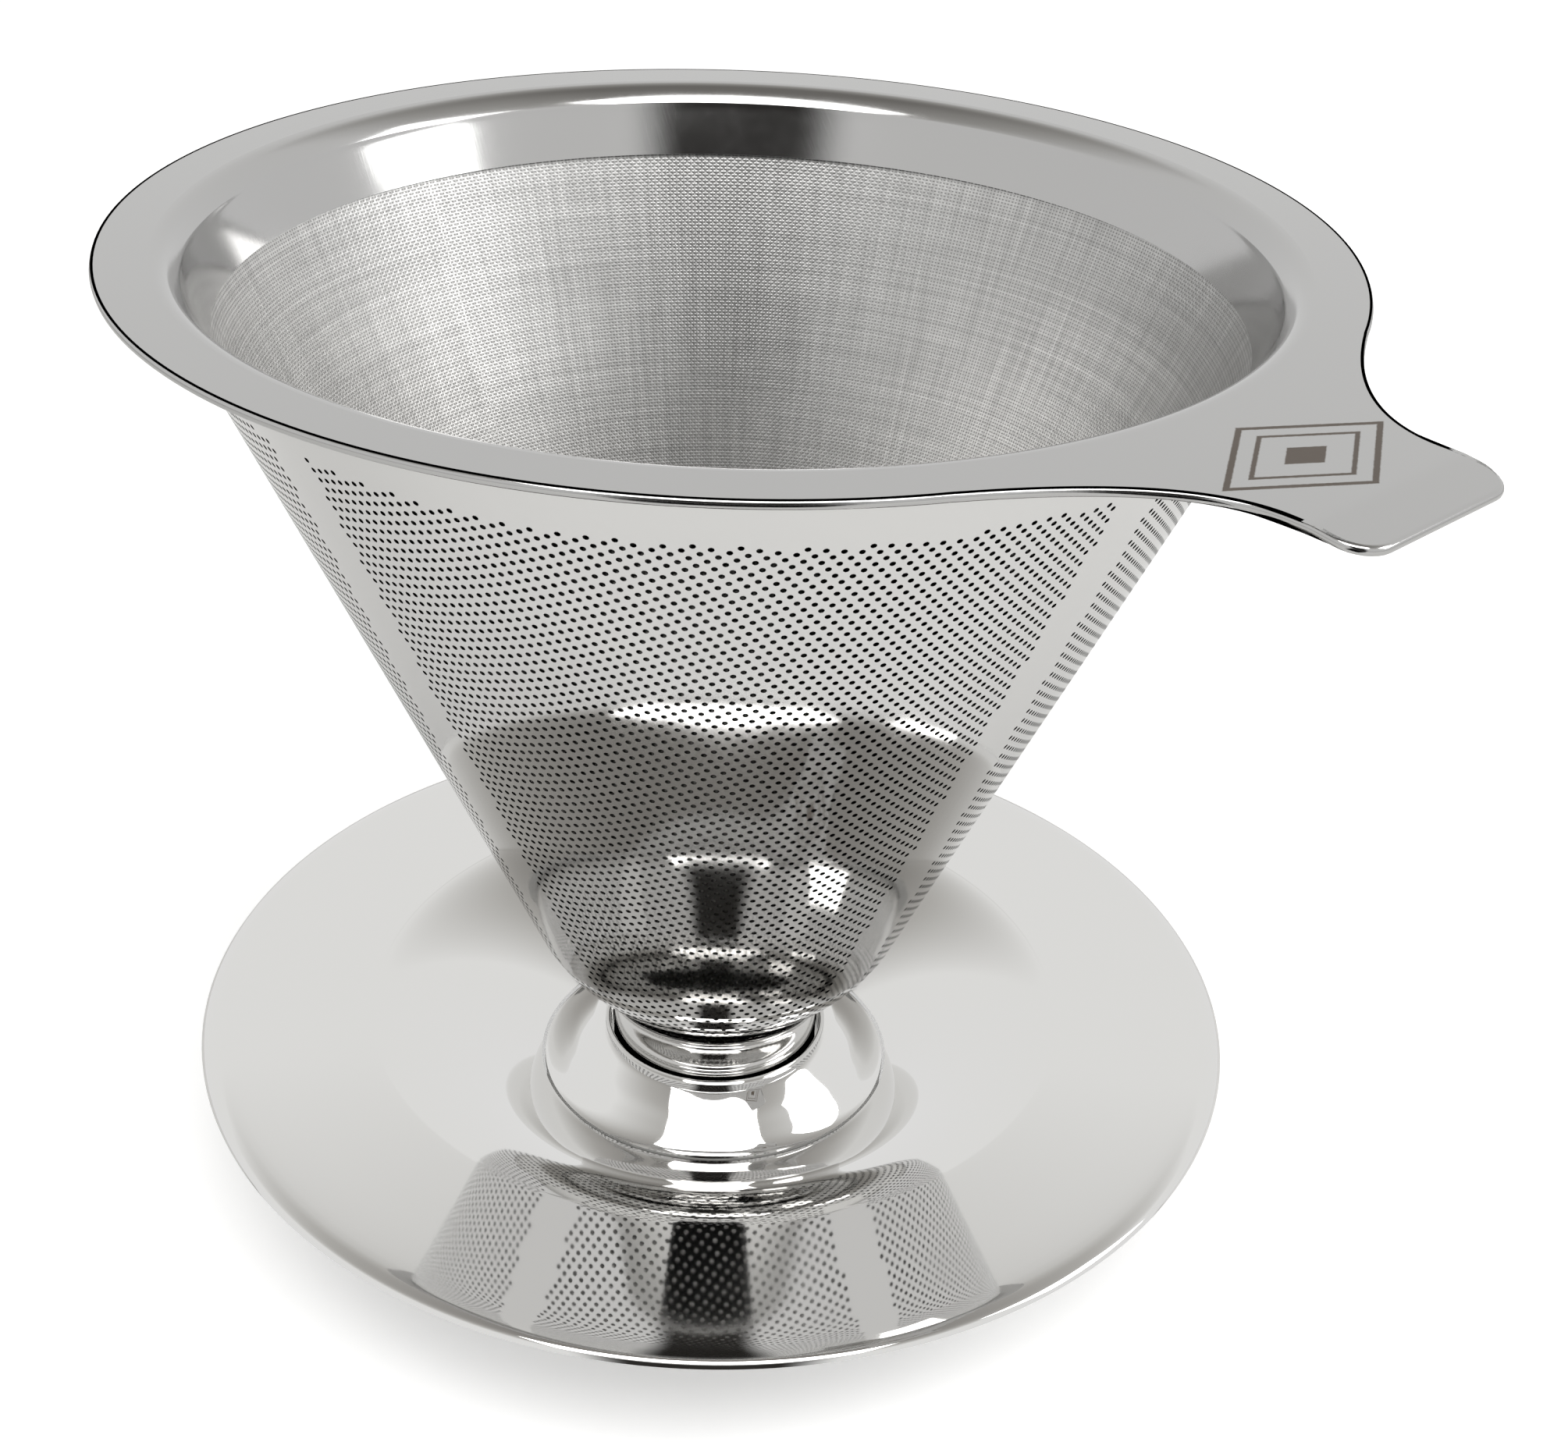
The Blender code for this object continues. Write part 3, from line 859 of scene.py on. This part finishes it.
# %% Camera
LEVEL = 19.6  # DISTANCE and HEIGHT start from this height on the axis
DISTANCE, HEIGHT = 223.84, 169.78
SENSOR_W = 36.0
LENS = 2963.0 / 2009 * SENSOR_W
PITCH_DOWN, ROLL, YAW = 0.53073, 0.044014, 0.030383  # radians
level_ahead = Vector((math.sin(YAW), math.cos(YAW), 0))
forward = level_ahead * math.cos(PITCH_DOWN) - Vector((0, 0, math.sin(PITCH_DOWN)))
right = Vector((math.cos(YAW), -math.sin(YAW), 0))
up = right.cross(forward)
right_rolled = right * math.cos(ROLL) + up * math.sin(ROLL)
up_rolled = up * math.cos(ROLL) - right * math.sin(ROLL)
turn_to_tab = Matrix.Rotation(VIEW_TURN, 4, "Z")
aim = Matrix((right_rolled, up_rolled, -forward)).transposed().to_4x4()
place = Matrix.Translation(Vector((0, -DISTANCE, HEIGHT)) * MM)
shift = Matrix.Translation(Vector((AXIS_X, 0, LEVEL)) * MM)

camera_data = bpy.data.cameras.new("camera")
camera_data.sensor_width = SENSOR_W
camera_data.lens = LENS
camera_data.clip_start = 0.005
camera = bpy.data.objects.new("camera", camera_data)
bpy.context.scene.collection.objects.link(camera)
camera.matrix_world = shift @ turn_to_tab @ place @ aim
bpy.context.scene.camera = camera
print(f"lens {camera_data.lens:.1f} mm")

# %% [markdown]
# ## Floor and light
# Polished steel shows its surroundings, so they are built here like stage scenery. The floor is
# bright to the camera and a little greyer to everything else, which Light Path's Is Camera Ray
# decides. With white all round, a mirror finish would look like chalk.

# %% Floor
floor_bm = bmesh.new()
bmesh.ops.create_grid(floor_bm, x_segments=1, y_segments=1, size=3.0)
floor_mesh = bpy.data.meshes.new("floor")
floor_bm.to_mesh(floor_mesh)
floor_bm.free()
floor = bpy.data.objects.new("floor", floor_mesh)
bpy.context.scene.collection.objects.link(floor)
floor_paint = bpy.data.materials.new("floor_paint")
floor_paint.use_nodes = True
paint = floor_paint.node_tree
paper = paint.nodes["Principled BSDF"]
direct = paint.nodes.new("ShaderNodeLightPath")
tone = node(paint, "ShaderNodeMix", {0: direct.outputs["Is Camera Ray"]}, data_type="RGBA")
tone.inputs[6].default_value = (0.74, 0.74, 0.735, 1)
tone.inputs[7].default_value = (0.97, 0.97, 0.97, 1)
paint.links.new(tone.outputs[2], paper.inputs["Base Color"])
paper.inputs["Emission Color"].default_value = (1, 1, 1, 1)
glow = maths(paint, "MULTIPLY", direct.outputs["Is Camera Ray"], 0.26)
paint.links.new(glow, paper.inputs["Emission Strength"])
paper.inputs["Roughness"].default_value = 0.9
paper.inputs["Specular IOR Level"].default_value = 0.0
floor_mesh.materials.append(floor_paint)
print("floor:", floor.name)

# %% [markdown]
# The world is light near the horizon and dark overhead, which gives the steel its greys. A dark
# patch stands low on the camera's side: it turns the near half of the dish dark.

# %% World
world = bpy.data.worlds.new("studio")
bpy.context.scene.world = world
world.use_nodes = True
sky = world.node_tree
ways = sky.nodes.new("ShaderNodeTexCoord")
facing = camera.matrix_world.translation - Vector((AXIS_X * MM, 0, 0.06))
facing.z = 0
facing.normalize()
way = ways.outputs["Generated"]
toward = node(sky, "ShaderNodeVectorMath", {0: way}, operation="DOT_PRODUCT")
toward.inputs[1].default_value = facing
split = node(sky, "ShaderNodeSeparateXYZ", {0: way})
across_way = node(sky, "ShaderNodeVectorMath", {0: way}, operation="DOT_PRODUCT")
across_way.inputs[1].default_value = facing.cross(Vector((0, 0, 1)))
aside = maths(sky, "ABSOLUTE", across_way.outputs["Value"])


def soft_step(value, low, high, start=0.0, end=1.0):
    """From start to end as the value goes from low to high, with soft shoulders."""
    step = node(sky, "ShaderNodeMapRange", {0: value}, interpolation_type="SMOOTHSTEP")
    for index, number in enumerate((low, high, start, end), 1):
        step.inputs[index].default_value = number
    return step.outputs[0]


narrow = soft_step(aside, 0.22, 0.42, 1.0, 0.0)
ahead = soft_step(toward.outputs["Value"], -0.05, 0.2)
low_down = soft_step(split.outputs[2], 0.58, 0.70, 1.0, 0.0)
patch = maths(sky, "MULTIPLY", maths(sky, "MULTIPLY", narrow, ahead), low_down)
ramp = node(sky, "ShaderNodeValToRGB", {0: split.outputs[2]})
tones = (
    (0.0, (0.88, 0.88, 0.88)),
    (0.62, (0.88, 0.88, 0.87)),
    (0.80, (0.50, 0.49, 0.47)),
    (0.97, (0.26, 0.25, 0.235)),
)
ramp.color_ramp.elements[0].position = tones[0][0]
ramp.color_ramp.elements[1].position = tones[3][0]
for place_at, _ in tones[1:3]:
    ramp.color_ramp.elements.new(place_at)
for element, (_, colour) in zip(ramp.color_ramp.elements, tones):
    element.color = (*colour, 1)
shadowed = node(sky, "ShaderNodeMix", {0: patch, 6: ramp.outputs[0]}, data_type="RGBA")
shadowed.inputs[7].default_value = (0.03, 0.028, 0.026, 1)
seen = sky.nodes.new("ShaderNodeLightPath")
final_links = {0: seen.outputs["Is Camera Ray"], 6: shadowed.outputs[2]}
final = node(sky, "ShaderNodeMix", final_links, data_type="RGBA")
final.inputs[7].default_value = (1, 1, 1, 1)
sky.links.new(final.outputs[2], sky.nodes["Background"].inputs[0])
sky.nodes["Background"].inputs[1].default_value = 1.0
print("world:", len(sky.nodes), "nodes")

# %% [markdown]
# Two soft boxes, one above the camera and one far to the left, give the shadow its soft edge.


# %% Soft boxes
def soft_box(name, where, size, watts):
    """A rectangular area light that looks at the dripper. Size is in metres."""
    data = bpy.data.lights.new(name, "AREA")
    data.shape = "RECTANGLE"
    data.size, data.size_y = size
    data.energy = watts
    lamp = bpy.data.objects.new(name, data)
    bpy.context.scene.collection.objects.link(lamp)
    lamp.location = where
    way_in = Vector((AXIS_X * MM, 0, 0.05)) - lamp.location
    lamp.rotation_euler = way_in.to_track_quat("-Z", "Y").to_euler()
    return lamp


side = facing.cross(Vector((0, 0, 1)))
soft_box("front", facing * 0.45 + Vector((0, 0, 0.80)), (0.80, 0.42), 5.0)
soft_box("left", -side * 0.9 + facing * 0.1 + Vector((0, 0, 0.7)), (0.5, 0.5), 3.0)

# %% [markdown]
# A studio lays black cards beside polished metal to draw a dark shape into it. This one is a
# fan that narrows towards the dripper. The camera never sees it.

# %% A black card low in front of the dripper, seen only in the steel
CARD_NECK = 0.06  # width of the narrow end, as a share of the wide one
card_bm = bmesh.new()
bmesh.ops.create_grid(card_bm, x_segments=1, y_segments=1, size=0.5)
card_mesh = bpy.data.meshes.new("card")
for vert in card_bm.verts:
    vert.co.x *= CARD_NECK if vert.co.y > 0 else 1.0
card_bm.to_mesh(card_mesh)
card_bm.free()
card = bpy.data.objects.new("card", card_mesh)
bpy.context.scene.collection.objects.link(card)
card.scale = (1.4, 1.75, 1.0)
card.rotation_euler = (0, 0, math.atan2(facing.y, facing.x) + math.pi / 2)
card.location = facing * 1.04 + Vector((AXIS_X * MM, 0, 0.002))
card.visible_camera = False
card.visible_shadow = False
black = bpy.data.materials.new("black_card")
black.use_nodes = True
velvet = black.node_tree.nodes["Principled BSDF"]
velvet.inputs["Base Color"].default_value = (0.004, 0.004, 0.004, 1)
velvet.inputs["Specular IOR Level"].default_value = 0.0
card_mesh.materials.append(black)
bpy.context.scene.view_settings.view_transform = "Standard"
